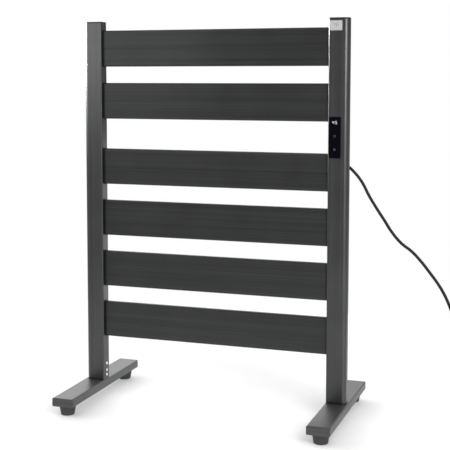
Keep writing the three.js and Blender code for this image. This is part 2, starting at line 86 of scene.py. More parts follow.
COIL_OUTER = 0.0445
TURN_PITCH = 0.007
STACK = 0.00685
FLOOR_TURN_Z = 0.0048
COIL_TURNS = 3.25
POINTS_PER_TURN = 16
PLUG_X, PLUG_NECK_Y, PLUG_Z = 0.701, 0.072, 0.0134


def smooth(value):
    value = min(max(value, 0.0), 1.0)
    return value * value * (3 - 2 * value)


def coil_radius(lap, phase):
    """Three turns side by side on the floor, each stepping inwards as it closes, and a last
    quarter turn that runs out over them."""
    if lap == 3:
        return COIL_OUTER - 1.5 * TURN_PITCH + TURN_PITCH * smooth(phase * 4)
    step = smooth((phase - 0.72) / 0.28)
    base = COIL_OUTER - lap * TURN_PITCH
    return base + 0.5 * TURN_PITCH * step if lap == 2 else base - TURN_PITCH * step


def coil_height(lap, phase):
    groove = math.sqrt(STACK ** 2 - (TURN_PITCH / 2) ** 2)
    if lap < 2:
        return FLOOR_TURN_Z
    if lap == 2:
        rise = STACK * smooth((phase - 0.5) / 0.3)
        return FLOOR_TURN_Z + rise - (STACK - groove) * smooth((phase - 0.85) / 0.15)
    return FLOOR_TURN_Z + groove + (STACK - groove) * math.sin(math.pi * phase * 4) ** 2


def coil_points():
    points = []
    for index in range(int(COIL_TURNS * POINTS_PER_TURN) + 1):
        lap, phase = divmod(index / POINTS_PER_TURN, 1)
        radius = coil_radius(lap, phase)
        angle = math.pi / 2 - math.tau * phase
        x = COIL_CENTRE[0] + radius * math.cos(angle)
        y = COIL_CENTRE[1] + radius * math.sin(angle)
        points.append((x, y, coil_height(lap, phase)))
    return points


def cord_tail():
    """From the coil's right-hand side into the plug's neck."""
    return [
        (PLUG_X, 0.0915, 0.0114), (PLUG_X, 0.0840, 0.0125), (PLUG_X, 0.0775, 0.0132),
        (PLUG_X, PLUG_NECK_Y - 0.002, PLUG_Z),
    ]


def make_cord():
    data = bpy.data.curves.new("mains_lead", "CURVE")
    data.dimensions = "3D"
    data.bevel_depth = CORD_DIAMETER / 2
    data.bevel_resolution = 5
    data.resolution_u = 6
    data.use_fill_caps = True
    spline = data.splines.new("BEZIER")
    points = ROUTE + coil_points() + cord_tail()
    spline.bezier_points.add(len(points) - 1)
    for knot, point in zip(spline.bezier_points, points):
        knot.co = point
        knot.handle_left_type = "AUTO"
        knot.handle_right_type = "AUTO"
    lead = bpy.data.objects.new("mains_lead", data)
    scene.collection.objects.link(lead)
    return lead


lead = make_cord()


# ---- mesh tools --------------------------------------------------------------------
# Edges that turn by more than this many degrees are rounded.
CORNER_ANGLE = 60


def new_piece(name, mesh):
    piece = bpy.data.objects.new(name, mesh)
    scene.collection.objects.link(piece)
    return piece


def piece_from(name, vertices, faces):
    mesh = bpy.data.meshes.new(name)
    mesh.from_pydata([tuple(v) for v in vertices], [], faces)
    work = bmesh.new()
    work.from_mesh(mesh)
    bmesh.ops.remove_doubles(work, verts=work.verts, dist=1e-7)
    bmesh.ops.recalc_face_normals(work, faces=work.faces)
    work.to_mesh(mesh)
    work.free()
    return new_piece(name, mesh)


def settle(piece):
    """Applies a piece's modifiers to its mesh."""
    bpy.context.view_layer.update()
    evaluated = piece.evaluated_get(bpy.context.evaluated_depsgraph_get())
    old = piece.data
    piece.data = bpy.data.meshes.new_from_object(evaluated)
    piece.modifiers.clear()
    bpy.data.meshes.remove(old)
    piece.data.name = piece.name


def discard(piece):
    mesh = piece.data
    bpy.data.objects.remove(piece)
    bpy.data.meshes.remove(mesh)


def combine(piece, others, operation):
    for other in others:
        modifier = piece.modifiers.new(operation.lower(), "BOOLEAN")
        modifier.operation = operation
        modifier.solver = "EXACT"
        modifier.object = other
        settle(piece)
        discard(other)
    return piece


def carve(piece, *cutters):
    return combine(piece, cutters, "DIFFERENCE")


def fuse(piece, *others):
    return combine(piece, others, "UNION")


def merged(name, parts):
    """Puts separate, non-touching meshes into one piece."""
    work = bmesh.new()
    for part in parts:
        work.from_mesh(part.data)
        discard(part)
    mesh = bpy.data.meshes.new(name)
    work.to_mesh(mesh)
    work.free()
    return new_piece(name, mesh)


def round_edges(piece, width, segments=2):
    modifier = piece.modifiers.new("rounded", "BEVEL")
    modifier.width = width
    modifier.segments = segments
    modifier.limit_method = "ANGLE"
    modifier.angle_limit = math.radians(CORNER_ANGLE)
    modifier.use_clamp_overlap = True
    settle(piece)
    return piece


def shade(piece, angle=36):
    mesh = piece.data
    mesh.polygons.foreach_set("use_smooth", [True] * len(mesh.polygons))
    mesh.set_sharp_from_angle(angle=math.radians(angle))
    weighted = piece.modifiers.new("weighted normals", "WEIGHTED_NORMAL")
    weighted.keep_sharp = True
    return piece


def outline(width, height, radii, segments=8):
    """Points round a centred rectangle, anticlockwise from its low-low corner, with a radius
    for each corner in the same order."""
    points = []
    corners = ((-1, -1, 180), (1, -1, 270), (1, 1, 0), (-1, 1, 90))
    for (side_u, side_v, start), radius in zip(corners, radii):
        u = side_u * (width / 2 - radius)
        v = side_v * (height / 2 - radius)
        for step in range(segments + 1):
            angle = math.radians(start + 90 * step / segments)
            points.append((u + radius * math.cos(angle), v + radius * math.sin(angle)))
    return points


def circle(radius, segments=32):
    turns = [math.tau * step / segments for step in range(segments)]
    return [(radius * math.cos(turn), radius * math.sin(turn)) for turn in turns]


def placed(axis, depth, u, v):
    """A section's u and v at a depth along an axis: u, v are the other two axes in order."""
    return {"x": (depth, u, v), "y": (u, depth, v), "z": (u, v, depth)}[axis]


def prism(name, section, axis, low, high, centre=(0, 0)):
    count = len(section)
    vertices = [
        placed(axis, depth, u + centre[0], v + centre[1])
        for depth in (low, high) for u, v in section
    ]
    faces = [tuple(range(count)), tuple(range(count, 2 * count))]
    for i in range(count):
        j = (i + 1) % count
        faces.append((i, j, count + j, count + i))
    return piece_from(name, vertices, faces)


def loft(name, rings, capped=True):
    """Skins rings of equal length. The last ring joins the first where it isn't capped."""
    count = len(rings[0])
    vertices = [point for ring in rings for point in ring]
    faces = []
    spans = range(len(rings) - 1) if capped else range(len(rings))
    for span in spans:
        low, high = span * count, (span + 1) % len(rings) * count
        for i in range(count):
            j = (i + 1) % count
            faces.append((low + i, low + j, high + j, high + i))
    if capped:
        faces.append(tuple(range(count)))
        faces.append(tuple(range((len(rings) - 1) * count, len(rings) * count)))
    return piece_from(name, vertices, faces)


def turned(name, profile, origin, axis="z", segments=40, closed=False, flip=1):
    """Turns [radius, height] corners about an axis line through the origin."""
    rings = []
    for radius, height in profile:
        ring = []
        for u, v in circle(max(radius, 1e-5), segments):
            point = Vector(placed(axis, height * flip, u, v)) + Vector(origin)
            ring.append(point)
        rings.append(ring)
    return loft(name, rings, capped=not closed)


def box_section(width, height):
    return outline(width, height, (1e-5,) * 4, 1)


# ---- materials ---------------------------------------------------------------------
class Look:
    """One procedural material, laid out in its piece's own coordinates."""

    def __init__(self, name, color, **sockets):
        self.material = bpy.data.materials.new(name)
        self.material.use_nodes = True
        self.tree = self.material.node_tree
        self.shader = self.tree.nodes["Principled BSDF"]
        self.place = self.node("ShaderNodeTexCoord").outputs["Object"]
        self.color = color
        self.shader.inputs["Base Color"].default_value = (*color, 1)
        for socket, value in sockets.items():
            self.shader.inputs[socket.replace("_", " ")].default_value = value

    def node(self, kind, **settings):
        node = self.tree.nodes.new(kind)
        for key, value in settings.items():
            setattr(node, key, value)
        return node

    def wire(self, source, target):
        self.tree.links.new(source, target)

    def noise(self, stretch, detail=2.0, roughness=0.55):
        mapping = self.node("ShaderNodeMapping")
        mapping.inputs["Scale"].default_value = stretch
        self.wire(self.place, mapping.inputs["Vector"])
        noise = self.node("ShaderNodeTexNoise")
        noise.inputs["Scale"].default_value = 1
        noise.inputs["Detail"].default_value = detail
        noise.inputs["Roughness"].default_value = roughness
        self.wire(mapping.outputs["Vector"], noise.inputs["Vector"])
        return noise.outputs["Fac"]

    def cells(self, scale, feature="F1"):
        cells = self.node("ShaderNodeTexVoronoi", feature=feature)
        cells.inputs["Scale"].default_value = scale
        self.wire(self.place, cells.inputs["Vector"])
        return cells.outputs["Distance"]

    def math(self, operation, first, second):
        node = self.node("ShaderNodeMath", operation=operation)
        for socket, value in zip(node.inputs, (first, second)):
            if isinstance(value, (int, float)):
                socket.default_value = value
            else:
                self.wire(value, socket)
        return node.outputs["Value"]

    def spread(self, source, low, high, start=0.3, end=0.7):
        node = self.node("ShaderNodeMapRange")
        self.wire(source, node.inputs["Value"])
        for socket, value in zip(("From Min", "From Max", "To Min", "To Max"),
                                 (start, end, low, high)):
            node.inputs[socket].default_value = value
        return node.outputs["Result"]

    def tint(self, source, darker, lighter, start=0.3, end=0.7):
        """The base colour, from darker to lighter times itself along the source."""
        ramp = self.node("ShaderNodeValToRGB")
        ramp.color_ramp.elements[0].position = start
        ramp.color_ramp.elements[1].position = end
        for element, factor in zip(ramp.color_ramp.elements, (darker, lighter)):
            element.color = (*[channel * factor for channel in self.color], 1)
        self.wire(source, ramp.inputs["Fac"])
        self.wire(ramp.outputs["Color"], self.shader.inputs["Base Color"])
        return ramp.outputs["Color"]

    def blend(self, amount, under, over):
        """Lays a fixed colour over another by an amount, as the base colour."""
        mix = self.node("ShaderNodeMix", data_type="RGBA")
        self.wire(amount, mix.inputs[0])
        self.wire(under, mix.inputs[6])
        mix.inputs[7].default_value = (*over, 1)
        self.wire(mix.outputs[2], self.shader.inputs["Base Color"])
        return mix.outputs[2]

    def roughness(self, source, low, high):
        self.wire(self.spread(source, low, high), self.shader.inputs["Roughness"])

    def bump(self, source, distance, strength=0.5):
        bump = self.node("ShaderNodeBump")
        bump.inputs["Distance"].default_value = distance
        bump.inputs["Strength"].default_value = strength
        self.wire(source, bump.inputs["Height"])
        self.wire(bump.outputs["Normal"], self.shader.inputs["Normal"])

    def edges(self, radius):
        """Near 1 along outer edges and 0 on open faces."""
        rounded = self.node("ShaderNodeBevel", samples=4)
        rounded.inputs["Radius"].default_value = radius
        geometry = self.node("ShaderNodeNewGeometry")
        dot = self.node("ShaderNodeVectorMath", operation="DOT_PRODUCT")
        self.wire(rounded.outputs["Normal"], dot.inputs[0])
        self.wire(geometry.outputs["Normal"], dot.inputs[1])
        return self.spread(dot.outputs["Value"], 1, 0, 0.75, 0.98)

    def painted_crevice_shade(self, reach):
        """Near 1 deep in corners between pieces and 0 out in the open: the mask for shade painted
        into the base colour.
        """
        occlusion = self.node("ShaderNodeAmbientOcclusion", samples=6)
        occlusion.inputs["Distance"].default_value = reach
        return self.spread(occlusion.outputs["AO"], 1, 0, 0.45, 0.92)


def along(axis, lengthwise, across):
    return tuple(lengthwise if letter == axis else across for letter in "xyz")


def brushed(name, axis, color, metallic=0.85, rough=(0.36, 0.5)):
    """Satin anodised metal with a brushed grain along its length, lighter worn edges with a painted
    highlight, and painted shade in its corners.
    """
    look = Look(name, color, Metallic=metallic)
    fine = look.noise(along(axis, 3, 1500), 3)
    streaks = look.noise(along(axis, 0.9, 240), 3)
    clouds = look.noise((9, 9, 9), 4)
    grain = look.math("ADD", look.math("MULTIPLY", fine, 0.35),
                      look.math("MULTIPLY", streaks, 0.65))
    mixed = look.math("ADD", look.math("MULTIPLY", grain, 0.75),
                      look.math("MULTIPLY", clouds, 0.25))
    base = look.tint(mixed, 0.8, 1.22, 0.34, 0.66)
    # Painted highlight and wear: a lighter colour along the outer edges, broken up by noise, stands
    # for edge wear and for a highlight on the rounded edges.
    edge_wear_and_highlight = look.math("MULTIPLY", look.edges(0.5 * MM), look.noise((60, 60, 60), 3))
    base = look.blend(look.math("MULTIPLY", edge_wear_and_highlight, 0.5), base, [min(c * 2.2, 1) for c in color])
    # Painted shade: the base colour darkens towards 0.12 of itself in corners and beside other
    # pieces, where shade falls.
    look.blend(look.math("MULTIPLY", look.painted_crevice_shade(7 * MM), 0.8), base, [c * 0.12 for c in color])
    look.roughness(mixed, *rough)
    look.bump(grain, 0.05 * MM, 0.35)
    return look.material


def moulded(name, color, rough=(0.42, 0.58), grain=1800, depth=0.04, **sockets):
    """Moulded plastic or rubber with a fine eroded texture."""
    look = Look(name, color, **sockets)
    fine = look.noise((grain,) * 3, 3)
    clouds = look.noise((35, 35, 35), 4)
    look.tint(look.math("ADD", look.math("MULTIPLY", clouds, 0.6),
                        look.math("MULTIPLY", fine, 0.4)), 0.78, 1.25, 0.35, 0.65)
    look.roughness(clouds, *rough)
    look.bump(fine, depth * MM, 0.5)
    return look.material


def plated(name, color, rough=(0.2, 0.42)):
    look = Look(name, color, Metallic=1.0)
    clouds = look.noise((420, 420, 420), 4)
    look.tint(clouds, 0.8, 1.1)
    look.roughness(clouds, *rough)
    look.bump(look.noise((2600, 2600, 2600), 2), 0.02 * MM, 0.35)
    return look.material


def polished_black():
    """Tinted touch plate: deep gloss with faint smears and a little dust."""
    look = Look("panel gloss", (0.0022, 0.0022, 0.0032), Specular_IOR_Level=0.03)
    smears = look.noise((60, 60, 140), 5, 0.6)
    dust = look.spread(look.cells(900), 1, 0, 0.02, 0.07)
    base = look.tint(smears, 0.7, 1.4)
    look.blend(look.math("MULTIPLY", dust, 0.04), base, (0.25, 0.25, 0.26))
    look.roughness(smears, 0.06, 0.16)
    look.bump(look.noise((240, 240, 240), 2), 0.006 * MM, 0.2)
    return look.material


def circuit_board():
    look = Look("solder mask", (0.01, 0.085, 0.03), Roughness=0.4)
    tracks = look.spread(look.cells(420, "DISTANCE_TO_EDGE"), 1, 0, 0.05, 0.12)
    base = look.tint(look.noise((80, 80, 80), 3), 0.8, 1.2)
    look.blend(look.math("MULTIPLY", tracks, 0.6), base, (0.02, 0.19, 0.06))
    look.bump(tracks, 0.03 * MM, 0.4)
    return look.material


def glowing(name, color, strength):
    look = Look(name, color, Roughness=0.35, Emission_Strength=strength)
    glow = look.tint(look.noise((700, 700, 700), 2), 0.85, 1.1)
    look.wire(glow, look.shader.inputs["Emission Color"])
    return look.material


def label_metal():
    look = Look("label metal", (0.52, 0.52, 0.51), Metallic=0.35)
    grain = look.noise(along("x", 25, 1800), 3)
    look.tint(grain, 0.9, 1.06)
    look.roughness(grain, 0.3, 0.45)
    look.bump(grain, 0.01 * MM, 0.3)
    return look.material


POST_METAL = brushed("post metal", "z", (0.0735, 0.0744, 0.0762), rough=(0.31, 0.43))
BAR_METAL = brushed("bar metal", "x", (0.0465, 0.0474, 0.0484))
FOOT_METAL = brushed("foot metal", "y", (0.11, 0.111, 0.113))
END_METAL = brushed("end plate metal", "x", (0.08, 0.081, 0.083))
ALUMINIUM = plated("mill aluminium", (0.6, 0.61, 0.62), (0.35, 0.55))
ZINC = plated("bright zinc", (0.78, 0.79, 0.8))
NICKEL = plated("nickel plate", (0.72, 0.69, 0.62), (0.15, 0.3))
CAP_PLASTIC = moulded("cap plastic", (0.009, 0.009, 0.0095))
INNER_PLASTIC = moulded("inner plastic", (0.03, 0.03, 0.032), rough=(0.5, 0.65))
RUBBER = moulded("foot rubber", (0.031, 0.031, 0.032), (0.62, 0.85), 1200, 0.06)
CORD_SHEATH = moulded("cord sheath", (0.006, 0.006, 0.0062), (0.42, 0.55), 2200, 0.02,
                      Specular_IOR_Level=0.22)
PLUG_RUBBER = moulded("plug moulding", (0.014, 0.014, 0.0145), (0.5, 0.64), 2000, 0.03)
SILICONE = moulded("silicone sleeve", (0.3, 0.035, 0.02), (0.55, 0.7), 1500, 0.03)
IVORY = moulded("ivory moulding", (0.7, 0.66, 0.55), (0.35, 0.5), 1500, 0.02)
STRAP = moulded("strap weave", (0.02, 0.02, 0.021), (0.75, 0.95), 2600, 0.1)
GLASS = polished_black()
BOARD = circuit_board()
LABEL = label_metal()
PRINT = moulded("grey print", (0.09, 0.09, 0.092), (0.45, 0.6), 1500, 0.01)
READOUT = glowing("readout light", (0.44, 0.46, 0.6), 0.65)
KEY_LIGHT = glowing("key light", (0.065, 0.072, 0.17), 0.4)


def install(piece, material, slot_name, *replaced):
    """Gives a finished piece its finish and its body, and hides the CAD nodes that it stands for.
    """
    piece.data.materials.clear()
    piece.data.materials.append(material)
    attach(piece, "root")
    if replaced:
        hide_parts(*replaced)
    return piece


# ---- posts -------------------------------------------------------------------------
POST_WALL = 2 * MM
POST_OUTER_RADIUS = 10 * MM
POST_INNER_RADIUS = 2.5 * MM
CLEARANCE = 0.3 * MM
BARS = [f"slat_{number}" for number in range(1, 7)]
BAR_RADIUS = 3.5 * MM
SCREW_HOLE = 2.35 * MM
CORD_OUTLET = 5.7 * MM
PANEL_WINDOW = (20 * MM, 82 * MM)
CAP_THICKNESS = 3 * MM
CAP_LIP_WALL = 1.6 * MM


def centre_of(node):
    low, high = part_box(node)
    return (low + high) / 2


def size_of(node):
    low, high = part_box(node)
    return high - low


def post_section(side, inset, segments=14):
    width, depth, _ = size_of("left_post")
    outer = POST_OUTER_RADIUS - inset
    inner = max(POST_INNER_RADIUS - inset, 0.5 * MM)
    radii = (inner, outer, outer, inner) if side > 0 else (outer, inner, inner, outer)
    return outline(width - 2 * inset, depth - 2 * inset, radii, segments)


def make_post(name, side):
    node = f"{name}_post"
    low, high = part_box(node)
    middle = centre_of(node)
    inner_x = low.x if side > 0 else high.x
    through = sorted((inner_x - side * 0.8 * POST_WALL, inner_x + side * 2 * POST_WALL))
    shell = prism(f"{node}_shell", post_section(side, 0), "z", low.z, high.z, middle.xy)
    cavity = prism("cavity", post_section(side, POST_WALL), "z", low.z - MM, high.z + MM,
                   middle.xy)
    _, thick, tall = size_of(BARS[0])
    slot_section = outline(thick + 2 * CLEARANCE, tall + 2 * CLEARANCE,
                           (BAR_RADIUS + CLEARANCE,) * 4)
    holes = [prism("slot", slot_section, "x", *through, (0, centre_of(bar).z)) for bar in BARS]
    for number in (1, 2, 3):
        z = centre_of(f"{name}_post_screw_{number}").z
        holes.append(prism("hole", circle(SCREW_HOLE, 24), "x", *through, (0, z)))
    if side > 0:
        panel = centre_of("touch_panel")
        window = outline(*PANEL_WINDOW, (MM,) * 4, 4)
        holes.append(prism("window", window, "y", low.y - MM, low.y + 2 * POST_WALL,
                           (panel.x, panel.z)))
        rear = (high.y - 2 * POST_WALL, high.y + MM)
        relief = centre_of("cord_strain_relief")
        earth = centre_of("earth_screw")
        holes.append(prism("outlet", circle(CORD_OUTLET), "y", *rear, (relief.x, relief.z)))
        holes.append(prism("hole", circle(SCREW_HOLE, 24), "y", *rear, (earth.x, earth.z)))
    carve(shell, cavity, merged("holes", holes))
    round_edges(shell, 0.22 * MM)
    install(shade(shell), POST_METAL, "frame", node)


def make_post_cap(name, side):
    node = f"{name}_post_cap"
    low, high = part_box(node)
    middle = centre_of(node)
    under = high.z - CAP_THICKNESS
    plate = prism(f"{node}_plate", post_section(side, 0), "z", under, high.z, middle.xy)
    round_edges(plate, 0.6 * MM, 3)
    inset = POST_WALL + CLEARANCE
    lip = prism("lip", post_section(side, inset), "z", low.z, under + MM, middle.xy)
    hollow = prism("hollow", post_section(side, inset + CAP_LIP_WALL), "z", low.z - MM, under,
                   middle.xy)
    fuse(plate, carve(lip, hollow))
    install(shade(plate), CAP_PLASTIC, "black_plastic", node)


# ---- heated bars -------------------------------------------------------------------
BAR_WALL = 1.4 * MM
CHAMBER_RADIUS = 1.5 * MM
BEAD_HALF_WIDTH = 1.0 * MM
BEAD_HEIGHT = 0.35 * MM


def bar_section(thick, tall):
    """The bar's outline with a fine rounded bead along the middle of its front face."""
    section = outline(thick, tall, (BAR_RADIUS,) * 4, 8)
    for step in range(-4, 5):
        angle = -step * math.pi / 8
        v = BEAD_HALF_WIDTH * math.sin(angle)
        section.append((-thick / 2 - BEAD_HEIGHT * math.cos(angle), v))
    return section


def make_bar(node):
    low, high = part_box(node)
    middle = centre_of(node)
    _, thick, tall = size_of(node)
    bar = prism(f"{node}_tube", bar_section(thick, tall), "x", low.x, high.x,
                (middle.y, middle.z))
    chamber_height = (tall - 3 * BAR_WALL) / 2
    chamber = outline(thick - 2 * BAR_WALL, chamber_height, (CHAMBER_RADIUS,) * 4, 4)
    offset = (chamber_height + BAR_WALL) / 2
    chambers = [
        prism("chamber", chamber, "x", low.x - MM, high.x + MM, (middle.y, middle.z + shift))
        for shift in (-offset, offset)
    ]
    carve(bar, merged("chambers", chambers))
    install(shade(bar), BAR_METAL, "frame", node)


# ---- feet --------------------------------------------------------------------------
FOOT_RADIUS = 3 * MM
FOOT_WALL = 2 * MM
SPIGOT_BOLT_HOLE = 2.8 * MM
SPIGOT_BOLT_ACCESS = 5.5 * MM
END_PLATE = 2.5 * MM
END_LIP_WALL = 1.6 * MM
RUBBER_RECESS = 6 * MM
RUBBER_RECESS_DEPTH = 9 * MM
RUBBER_BORE = 2.55 * MM


def make_foot_bar(name):
    node = f"{name}_foot_bar"
    low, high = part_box(node)
    middle = centre_of(node)
    width, _, height = size_of(node)
    place = (middle.x, middle.z)
    bar = prism(f"{node}_tube", outline(width, height, (FOOT_RADIUS,) * 4, 8), "y",
                low.y, high.y, place)
    hollow = outline(width - 2 * FOOT_WALL, height - 2 * FOOT_WALL, (MM,) * 4, 4)
    cavity = prism("cavity", hollow, "y", low.y - MM, high.y + MM, place)
    holes = []
    under = (low.z - MM, low.z + 1.5 * FOOT_WALL)
    top = (high.z - 1.5 * FOOT_WALL, high.z + MM)
    for number in (1, 2):
        bolt = centre_of(f"{name}_spigot_bolt_{number}")
        holes.append(prism("access", circle(SPIGOT_BOLT_ACCESS), "z", *under, bolt.xy))
        holes.append(prism("hole", circle(SPIGOT_BOLT_HOLE, 24), "z", *top, bolt.xy))
    for end in ENDS:
        foot = centre_of(f"{name}_{end}_rubber_foot")
        holes.append(prism("hole", circle(RUBBER_BORE, 24), "z", *under, foot.xy))
    carve(bar, cavity, merged("holes", holes))
    install(shade(bar), FOOT_METAL, "frame", node)


def make_foot_cap(node, end):
    low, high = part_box(node)
    middle = centre_of(node)
    place = (middle.x, middle.z)
    width, _, height = size_of(node)
    outer, inner = (low.y, high.y) if end < 0 else (high.y, low.y)
    plate_back = outer - end * END_PLATE
    plate = prism(f"{node}_plate", outline(width, height, (FOOT_RADIUS,) * 4, 8), "y",
                  *sorted((outer, plate_back)), place)
    round_edges(plate, 0.45 * MM, 3)
    inset = 2 * (FOOT_WALL + CLEARANCE)
    lip = prism("lip", outline(width - inset, height - inset, (MM,) * 4, 4), "y",
                *sorted((plate_back + end * MM, inner)), place)
    hollow_size = (width - inset - 2 * END_LIP_WALL, height - inset - 2 * END_LIP_WALL)
    hollow = prism("hollow", outline(*hollow_size, (0.5 * MM,) * 4, 4), "y",
                   *sorted((plate_back, inner - end * MM)), place)
    fuse(plate, carve(lip, hollow))
    install(shade(plate), END_METAL, "frame", node)


def make_rubber_foot(node):
    low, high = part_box(node)
    height = high.z - low.z
    # Down the bore and the screw's recess, over the flat underside, up the tapered side.
    profile = [
        (RUBBER_BORE, height), (RUBBER_BORE, RUBBER_RECESS_DEPTH),
        (RUBBER_RECESS, RUBBER_RECESS_DEPTH), (RUBBER_RECESS, 0.4 * MM),
        (RUBBER_RECESS + 0.4 * MM, 0), (13.4 * MM, 0), (14.6 * MM, 0.25 * MM),
        (15.3 * MM, 0.9 * MM), (15.7 * MM, 2 * MM), (19.2 * MM, height - 1.6 * MM),
        (19.4 * MM, height - 1.2 * MM), (19.5 * MM, height - 0.8 * MM),
        (19.4 * MM, height - 0.3 * MM), (19.1 * MM, height),
    ]
    centre = centre_of(node)
    foot = turned(f"{node}_bumper", profile, (centre.x, centre.y, low.z), "z", 56, closed=True)
    install(shade(foot, 30), RUBBER, "rubber", node)


# ---- screws ------------------------------------------------------------------------
def make_screw(node, axis, flip, head_radius, head_height, radius, length, seat):
    """Pan-head screw with a cross recess. The head's underside is at the seat, and the shank
    runs along the axis, the way that flip points."""
    dome = []
    for turn in (8, 20, 35, 50, 65, 78):
        turn = math.radians(turn)
        dome.append((head_radius * math.sin(turn), -head_height * math.cos(turn) ** 0.8))
    profile = [(1e-5, -head_height), *dome, (head_radius, -0.12 * head_height), (head_radius, 0),
               (radius, 0), (radius, length - radius), (radius * 0.5, length),
               (1e-5, length)]
    screw = turned(f"{node}_machined", profile, seat, axis, 28, flip=flip)
    top = -head_height * 1.05
    arms = []
    for long_u in (True, False):
        rings = []
        for depth, grow in ((top, 1.0), (-0.25 * head_height, 0.45)):
            half_long, half_short = head_radius * 0.55 * grow, head_radius * 0.13 * grow
            half = (half_long, half_short) if long_u else (half_short, half_long)
            rings.append([
                Vector(placed(axis, depth * flip, u * half[0], v * half[1])) + Vector(seat)
                for u, v in ((-1, -1), (1, -1), (1, 1), (-1, 1))
            ])
        arms.append(loft("arm", rings))
    carve(screw, *arms)
    install(shade(screw, 32), ZINC, "zinc", node)


# Head radius and height, shank radius, then length.
POST_SCREW = (3.6 * MM, 2.2 * MM, 2 * MM, 10 * MM)
EARTH_SCREW = (3.6 * MM, 2.2 * MM, 2 * MM, 8 * MM)
FOOT_SCREW = (4.8 * MM, 3 * MM, 2.2 * MM, 20 * MM)


def make_screws():
    for name, side in SIDES.items():
        for number in (1, 2, 3):
            node = f"{name}_post_screw_{number}"
            low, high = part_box(node)
            middle = centre_of(node)
            head = POST_SCREW[1]
            seat_x = low.x + head if side > 0 else high.x - head
            make_screw(node, "x", side, *POST_SCREW, (seat_x, middle.y, middle.z))
        for end in ENDS:
            node = f"{name}_{end}_rubber_foot_screw"
            low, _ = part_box(node)
            middle = centre_of(node)
            seat = (middle.x, middle.y, low.z + FOOT_SCREW[1])
            make_screw(node, "z", 1, *FOOT_SCREW, seat)
    _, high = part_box("earth_screw")
    middle = centre_of("earth_screw")
    seat = (middle.x, high.y - EARTH_SCREW[1], middle.z)
    make_screw("earth_screw", "y", -1, *EARTH_SCREW, seat)


# ---- touch panel and label ---------------------------------------------------------
INLAY_DEPTH = 0.06 * MM


def front_plate(node, radius, edge):
    low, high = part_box(node)
    middle = centre_of(node)
    width, _, height = size_of(node)
    plate = prism(f"{node}_plate", outline(width, height, (radius,) * 4, 8), "y",
                  low.y, high.y, (middle.x, middle.z))
    return shade(round_edges(plate, edge, 3))


def inlay(name, polygons, face_y, centre, material, slot_name):
    """Thin flat shapes that stand just proud of a face."""
    parts = [
        prism("part", polygon, "y", face_y - INLAY_DEPTH, face_y + INLAY_DEPTH, centre)
        for polygon in polygons
    ]
    return install(merged(name, parts), material, slot_name)


def bar_segment(start, end, width):
    """A display segment between two points, with pointed ends."""
    a, b = Vector(start), Vector(end)
    along_it = (b - a).normalized()
    across = Vector((-along_it.y, along_it.x)) * width / 2
    tip = along_it * width / 2
    gap = along_it * 0.12 * MM
    a, b = a + gap, b - gap
    return [tuple(p) for p in (a, a + tip - across, b - tip - across, b, b - tip + across,
                               a + tip + across)]


SEGMENTS = {
    "top": ((0, 2), (1, 2)), "middle": ((0, 1), (1, 1)), "bottom": ((0, 0), (1, 0)),
    "upper_left": ((0, 1), (0, 2)), "upper_right": ((1, 1), (1, 2)),
    "lower_left": ((0, 0), (0, 1)), "lower_right": ((1, 0), (1, 1)),
}
DIGITS = {
    "4": ("upper_left", "middle", "upper_right", "lower_right"),
    "5": ("top", "upper_left", "middle", "lower_right", "bottom"),
}
DIGIT_WIDTH = 3.5 * MM
DIGIT_HALF_HEIGHT = 3.0 * MM
DIGIT_SLANT = 0.12
SEGMENT_WIDTH = 0.95 * MM
ICON_RADIUS = 2.3 * MM
ICON_LINE = 0.6 * MM


def digit_polygons(digit, origin_u):
    polygons = []
    for key in DIGITS[digit]:
        ends = []
        for u, v in SEGMENTS[key]:
            height = (v - 1) * DIGIT_HALF_HEIGHT
            ends.append((origin_u + u * DIGIT_WIDTH + height * DIGIT_SLANT, height))
        polygons.append(bar_segment(*ends, SEGMENT_WIDTH))
    return polygons


def ring_polygons(radius, width, start, end, steps=28):
    """A broad arc between two angles in degrees, as one outline."""
    low, high = radius - width / 2, radius + width / 2
    inner, outer = [], []
    for step in range(steps + 1):
        angle = math.radians(start + (end - start) * step / steps)
        inner.append((low * math.cos(angle), low * math.sin(angle)))
        outer.append((high * math.cos(angle), high * math.sin(angle)))
    return [outer + inner[::-1]]


def make_panel():
    low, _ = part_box("touch_panel")
    middle = centre_of("touch_panel")
    install(front_plate("touch_panel", 1.2 * MM, 0.3 * MM), GLASS, "panel_glass", "touch_panel")
    readout_z = centre_of("display_module").z
    digits = digit_polygons("4", -5.1 * MM) + digit_polygons("5", 1.4 * MM)
    inlay("readout_digits", digits, low.y, (middle.x, readout_z), READOUT, "panel_glass")
    power = ring_polygons(ICON_RADIUS, ICON_LINE, 125, 415)
    power.append([(-0.3 * MM, 0.6 * MM), (0.3 * MM, 0.6 * MM), (0.3 * MM, 3 * MM),
                  (-0.3 * MM, 3 * MM)])
    inlay("power_icon", power, low.y, (middle.x, centre_of("power_key_spring").z), KEY_LIGHT,
          "panel_glass")
    clock = ring_polygons(ICON_RADIUS, ICON_LINE, 0, 350)
    clock.append([(-0.25 * MM, 0), (0.25 * MM, 0), (0.25 * MM, 1.5 * MM),
                  (-0.25 * MM, 1.5 * MM)])
    clock.append([(0.3 * MM, -0.25 * MM), (1.2 * MM, -0.25 * MM), (1.2 * MM, 0.25 * MM),
                  (0.3 * MM, 0.25 * MM)])
    inlay("timer_icon", clock, low.y, (middle.x, centre_of("timer_key_spring").z), KEY_LIGHT,
          "panel_glass")


def wave_polygon(offset_u, height, swing, width, steps=16):
    left, right = [], []
    for step in range(steps + 1):
        v = (step / steps - 0.5) * height
        u = offset_u + swing * math.sin(math.tau * step / steps)
        left.append((u - width / 2, v))
        right.append((u + width / 2, v))
    return left + right[::-1]


